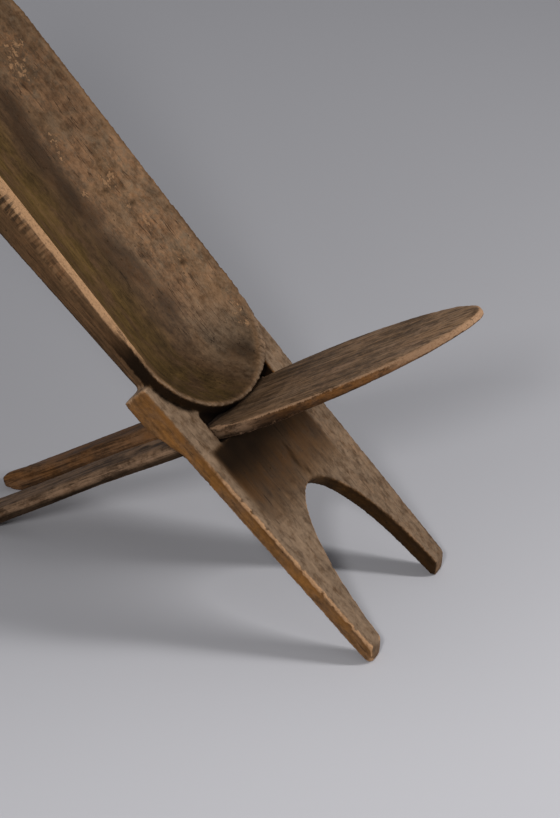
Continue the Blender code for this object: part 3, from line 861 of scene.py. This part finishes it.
def add_back_wear(skin, zones):
    """Adds the back plank's stained, rubbed, cut and rusty places to its zones."""
    along, across, out = skin.local.T
    drop = near_rim_height(along) - out
    worn = smooth(*WORN, skin.mottle(*BACK_WEAR))
    hollow, panel, dished = zones["hollow"], zones["panel"], zones["dished"]
    far_half, near_half = zones["far half"], zones["near half"]
    rim_side = on_back("rim side", across)

    # The seat's painted shadow on the panel's middle, laid on in black; the dished middle is darkened in the
    # tone as well
    under_seat = dished * on_back("under seat", along)
    under_seat = under_seat * graded(*UNDER_SEAT_FAR_TO_NEAR, on_back("under seat near", across))
    zones["under seat"] = under_seat * graded(*UNDER_SEAT_WEAR, worn)
    zones["dark spots"] = skin.dabs(*DARK_SPOTS) * (hollow + panel)
    zones["stained"] = (
        DARK_STAIN_SHARE * hollow * skin.dabs(*DARK_STAINS)
        + dished * graded(*DISHED_STAIN, on_back("soaked", along))
        + CHEEK_STAIN * zones["side face"] * on_back("cheek edge", out))

    edge_rub = EDGE_RUB + EDGE_RUB_NEAR * near_half + EDGE_RUB_BELOW * zones["below shoulder"]
    edge = zones["edge"] * edge_rub * graded(*EDGE_RUB_HIGH_TO_LOW, on_back("low edge", along))
    crest = zones["crest"] * graded(*CREST_RUB, worn) * graded(*CREST_RUB_FAR_TO_NEAR, near_half)
    lip_loss = LIP_RUB_LOST * zones["lip"] * graded(*LIP_RUB_WEAR, worn)
    zones["rubbed edge"] = np.maximum(edge, crest) * (1 - lip_loss)
    bare_rim = rim_side * on_back("rim top", drop) * on_back("high rim", along)
    zones["bare rim"] = bare_rim * graded(*BARE_RIM_WEAR, worn)
    facet = rim_side * on_back("facet from", drop) * on_back("facet to", drop) * on_back("facet", along)
    zones["cut facet"] = facet * graded(*CUT_WEAR, worn)

    flaked = skin.dabs(*FLAKED_PATCHES)
    zones["flaked"] = hollow * (FLAKE_ALL_OVER * far_half + FLAKE_PATCHES * flaked)
    zones["rusty wall"] = hollow * (far_half * on_back("rusty wall", along) + flaked)
    hatched = on_back("below rim", drop) * on_back("hatched", along)
    zones["rusty outer side"] = zones["outer side"] * (OUTER_RUST + OUTER_RUST_HATCHED * hatched)
    zones["dry panel"] = panel - DISHED_DUST_LOST * dished
    zones["ashen patches"] = hollow * skin.dabs(*ASHEN_PATCHES)
    zones["ashen wall"] = hollow * (ASHEN_WALL * far_half + ASHEN_EDGE * on_back("far ash", across))
    zones["sawn cheek"] = zones["cheek"] * graded(*CHEEK_SAWN, zones["below shoulder"])


def add_back_shades(skin, zones):
    """Adds the lighter and darker parts of the back plank's panel and hollow to its zones."""
    along, across, _ = skin.local.T
    hollow, panel, far_half = zones["hollow"], zones["panel"], zones["far half"]
    zones["far panel"] = panel * on_back("far panel", across)
    # The panel's near margin, high up: painted light in the tone
    zones["near panel"] = panel * on_back("near panel", across) * on_back("high panel", along)
    zones["legs"] = panel * on_back("legs", along)
    zones["far wall"] = hollow * far_half
    # The hollow's near wall: painted shade in the tone, over its olive colour
    zones["near wall"] = hollow * zones["near half"]
    zones["dim top"] = zones["far wall"] * on_back("dim top", along)
    # Along the hollow's deepest line: painted shade in the tone, blotchy in part
    zones["dark line"] = hollow * hump(*DARK_LINE, across)
    zones["blotchy line"] = zones["dark line"] * smooth(*BLOTCHED, skin.mottle(*BACK_BLOTCHES))
    # The hollow's low far corner by the lip: painted shade in the tone
    zones["dark corner"] = hollow * skin.dabs(DARK_CORNER)
    bowl = hollow * (1 - FAR_BOWL_LOST * far_half)
    zones["bowl low"] = bowl * on_back("bowl low", along)
    zones["bowl lowest"] = bowl * on_back("bowl lowest", along)


def shaded(zones, shades):
    """The middle tone, made lighter or darker by each zone's share."""
    return MIDDLE_TONE + sum(share * zones[zone] for zone, share in shades.items())


def back_plank():
    skin = Skin("carved_back_plank", "back_plank", BACK_SKIN, BACK_START, BACK_TURN)
    carve_back(skin)
    zones = back_forms(skin)
    add_back_wear(skin, zones)
    add_back_shades(skin, zones)
    skin.paint_finish(BACK_FINISH_AND_PAINTED_SHADE, zones)
    tone = shaded(zones, BACK_SHADES)
    inside = zones["hollow"] > INSIDE_HOLLOW
    skin.paint("tone", np.where(inside, np.maximum(tone, HOLLOW_LEAST_TONE), tone))
    return skin.finish()


def round_seat(skin):
    """Rounds the tail's bars, fills them out a little and rounds the leaf's tip."""
    along, _, out = skin.local.T
    bars = on_seat("bars", along)
    share, rounds = BAR_ROUNDING
    skin.soften(share * bars * on_seat("before tail end", along), rounds)
    skin.raise_by(BAR_FILL * bars)
    share, rounds = TIP_ROUNDING
    skin.soften(share * on_seat("tip rounding", along) * on_seat("tip top", out), rounds)


def heel_skew(across):
    """How far the heel is pushed down the plank: much on the near side, little on the far one."""
    return np.where(across < 0, HEEL_SKEW_NEAR, HEEL_SKEW_FAR) * on_seat("skewed", np.abs(across))


def bend_seat(skin):
    """Skews the heel, swells the waist, bows the near bar and lifts the far tail end."""
    along, across, out = skin.local.T
    width = np.abs(across)
    near, far = across < 0, across > 0
    inner = on_seat("inner", width)
    skew = heel_skew(across) * hump(*HEEL_HUMP, along)
    reach = -TAIL_END_REACH * on_seat("tail end face", along) * inner
    waist = np.sign(across) * WAIST_SWELL * on_seat("waist sides", width)
    waist = waist * on_seat("waist from", along) * on_seat("waist to", along)
    bow = HEEL_BOW * near * hump(*HEEL_BOW_HUMP, along)
    bow = bow * on_seat("heel sides", width) * on_seat("heel", along)
    bar_bow = BAR_BOW * near * hump(*BAR_BOW_HUMP, along)
    lift = BAR_LIFT * on_seat("lifted bars", along) + TAIL_END_LIFT * on_seat("tail end", along) * far
    lift = lift * on_seat("bar top", out) * inner
    skin.shift(np.stack((skew + reach, waist, bow + bar_bow + lift), axis=1))


def carve_seat(skin):
    """Hand work on the seat plank: round bars, a skewed heel, adze marks, a broken lower edge and nicks."""
    round_seat(skin)
    bend_seat(skin)
    adze = SEAT_ADZE_DEPTH * (skin.scallops(*SEAT_ADZE) - ADZE_LEVEL)
    skin.raise_by(adze + SEAT_WAVE * skin.mottle(*SEAT_WAVES))
    along, across, out = skin.local.T
    edge = smooth(*SHARP_BULGE, skin.bulge(SHARP_ROUNDS))
    lower_edge = edge * on_seat("broken edge", out) * (across < 0)
    lower_edge = lower_edge * on_seat("broken from", along) * on_seat("broken to", along)
    skin.raise_by(-SEAT_BREAK * lower_edge * smooth(*BROKEN, skin.mottle(*SEAT_BREAKS)))
    nick_edges(skin, SEAT_NICK, SEAT_NICK_SEED)


def seat_zones(skin):
    """Masks of the seat plank's forms and worn places, from 0 to 1 at each point of its skin."""
    along, across, out = skin.local.T
    aside, facing = skin.normal[:, 1], skin.normal[:, 2]
    near, far = across < 0, across > 0
    worn = smooth(*WORN, skin.mottle(*SEAT_WEAR))
    top = on_seat("faces out", facing)
    leaf = on_seat("leaf", along)
    bars = 1 - leaf
    rim = on_seat("faces aside", np.abs(facing)) * leaf
    tip = on_seat("tip", along)
    rounded = on_seat("rounded from", facing) * on_seat("rounded to", facing)
    upper_edge = np.maximum(skin.edges(), rounded) * on_seat("upper edge", out)
    # At the tip the bare paint on the edge and on the rim is a painted highlight
    edge_rub = SEAT_EDGE_RUB + leaf * graded(*LEAF_EDGE_RUB, worn) + TIP_EDGE_HIGHLIGHT * tip
    rim_bare_and_highlight = RIM_BARE + RIM_BARE_FRONT * on_seat("front rim", along) + RIM_HIGHLIGHT_TIP * tip
    rim_stain = RIM_STAIN + RIM_STAIN_MIDDLE * hump(*RIM_STAIN_HUMP, along) + RIM_STAIN_WEAR * worn
    near_bar_side = bars * on_seat("faces near", -aside) * near
    worn_bar = bars * near * on_seat("bar wear", out) * hump(*BAR_WEAR_HUMP, along)
    return {
        # The corners take painted shade with dirt, and the underside painted shade, both laid on in black
        "corner": skin.corners(), "under": on_seat("faces down", facing), "tip": tip,
        "leaf top": top * leaf, "rear leaf": top * leaf * on_seat("rear leaf", along),
        "dim leaf": top * leaf * on_seat("dim leaf", along),
        # Inside the slot: painted shade, laid on in black
        "in slot": on_seat("slot from", along - heel_skew(across)) * on_seat("slot to", along),
        # The rim's lower edge: painted shade, laid on in black
        "low rim": rim * on_seat("low rim", out) * (1 - LOW_RIM_TIP_LOST * tip),
        "stained rim": rim * on_seat("stained rim", out) * graded(*RIM_STAIN_TO_TIP, tip) * rim_stain,
        "bare rim": rim * on_seat("bare rim", out) * rim_bare_and_highlight,
        "rear rim": rim * on_seat("rear rim", along), "rusty rim": rim * on_seat("rusty rim", along),
        "warm rim": rim * on_seat("warm rim", along), "pale rear rim": rim * on_seat("pale rear rim", along),
        "dark rim": rim * hump(*RIM_DARK_HUMP, along), "rubbed edge": upper_edge * edge_rub,
        "bar tops": bars * top, "near bar": bars * near, "far bar": bars * far,
        # The foot of the near bar's side: painted shade, laid on in black
        "near bar side": near_bar_side, "bar foot": near_bar_side * on_seat("bar foot", out),
        "far bar inside": bars * on_seat("faces near", -aside) * far,
        "worn bar": worn_bar * graded(*BAR_WEAR, worn), "grain": graded(*SEAT_GRAIN, bars),
    }


def seat_plank():
    skin = Skin("carved_seat_plank", "seat_plank", SEAT_SKIN, SEAT_START, SEAT_TURN)
    carve_seat(skin)
    zones = seat_zones(skin)
    skin.paint_finish(SEAT_FINISH_AND_PAINTED_LIGHT, zones)
    skin.paint("tone", shaded(zones, SEAT_SHADES))
    return skin.finish()


def dress(piece, node, body, material):
    piece.data.materials.clear()
    piece.data.materials.append(material)
    piece.data.shade_smooth()
    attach(piece, body)
    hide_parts(node)


def floor_material():
    """Pale, with a painted fall-off of light that runs from in front of the chair to far behind it: darker
    beside it, and lighter far behind, where it stands in for a lit backdrop.
    """
    material = bpy.data.materials.new("pale_floor")
    material.use_nodes = True
    tree = material.node_tree
    shader = tree.nodes["Principled BSDF"]
    shader.inputs["Roughness"].default_value = FLOOR_ROUGHNESS
    place = tree.nodes.new("ShaderNodeTexCoord")
    away = tree.nodes.new("ShaderNodeVectorMath")
    away.operation = "DOT_PRODUCT"
    away.inputs[1].default_value = (-math.sin(CAMERA_TURN), math.cos(CAMERA_TURN), 0.0)
    reach = tree.nodes.new("ShaderNodeMapRange")
    reach.inputs["From Min"].default_value, reach.inputs["From Max"].default_value = FLOOR_REACH
    tone = tree.nodes.new("ShaderNodeValToRGB")
    tone.color_ramp.interpolation = "EASE"
    tone.color_ramp.elements.new(FLOOR_STOPS[1])
    for stop, at, colour in zip(tone.color_ramp.elements, FLOOR_STOPS, FLOOR_TONES):
        stop.position = at
        stop.color = (*colour, 1.0)
    tree.links.new(place.outputs["Object"], away.inputs[0])
    tree.links.new(away.outputs["Value"], reach.inputs["Value"])
    tree.links.new(reach.outputs["Result"], tone.inputs["Fac"])
    tree.links.new(tone.outputs["Color"], shader.inputs["Base Color"])
    return material


def floor():
    bm = bmesh.new()
    bmesh.ops.create_grid(bm, x_segments=FLOOR_SQUARES, y_segments=FLOOR_SQUARES, size=FLOOR_HALF)
    mesh = bpy.data.meshes.new("floor")
    bm.to_mesh(mesh)
    bm.free()
    mesh.materials.append(floor_material())
    item = bpy.data.objects.new("floor", mesh)
    bpy.context.scene.collection.objects.link(item)


def soft_light(name, turn, height, distance, long, wide, power):
    """A studio light that faces the chair, from a bearing and a height in degrees."""
    data = bpy.data.lights.new(name, "AREA")
    data.shape = "RECTANGLE"
    data.size = long
    data.size_y = wide
    data.energy = power
    lamp = bpy.data.objects.new(name, data)
    bpy.context.scene.collection.objects.link(lamp)
    bearing, lift = math.radians(turn), math.radians(height)
    toward = Vector((
        math.cos(bearing) * math.cos(lift), math.sin(bearing) * math.cos(lift), math.sin(lift)))
    lamp.location = LIGHTS_AIM + toward * distance
    lamp.rotation_euler = toward.to_track_quat("Z", "Y").to_euler()


def studio():
    floor()
    for name, settings in LIGHTS.items():
        soft_light(name, *settings)
    world = bpy.data.worlds.new("studio")
    world.use_nodes = True
    background = world.node_tree.nodes["Background"]
    background.inputs["Color"].default_value = SKY_COLOUR
    background.inputs["Strength"].default_value = SKY_STRENGTH
    bpy.context.scene.world = world
    bpy.context.scene.view_settings.view_transform = "Standard"


def camera():
    data = bpy.data.cameras.new("camera")
    data.lens = CAMERA_LENS
    data.sensor_width = SENSOR
    item = bpy.data.objects.new("camera", data)
    bpy.context.scene.collection.objects.link(item)
    item.location = CAMERA_AT
    item.rotation_euler = (math.pi / 2 - CAMERA_DIP, 0.0, CAMERA_TURN)
    bpy.context.scene.camera = item


def main():
    camera()
    studio()
    dress(back_plank(), "back_plank", "back",
          old_wood("old_back_wood", BACK_START, BACK_TURN, BACK_TONES, BACK_FIGURE_STEP))
    dress(seat_plank(), "seat_plank", "seat",
          old_wood("old_seat_wood", SEAT_START, SEAT_TURN, SEAT_TONES, SEAT_FIGURE_STEP))


main()
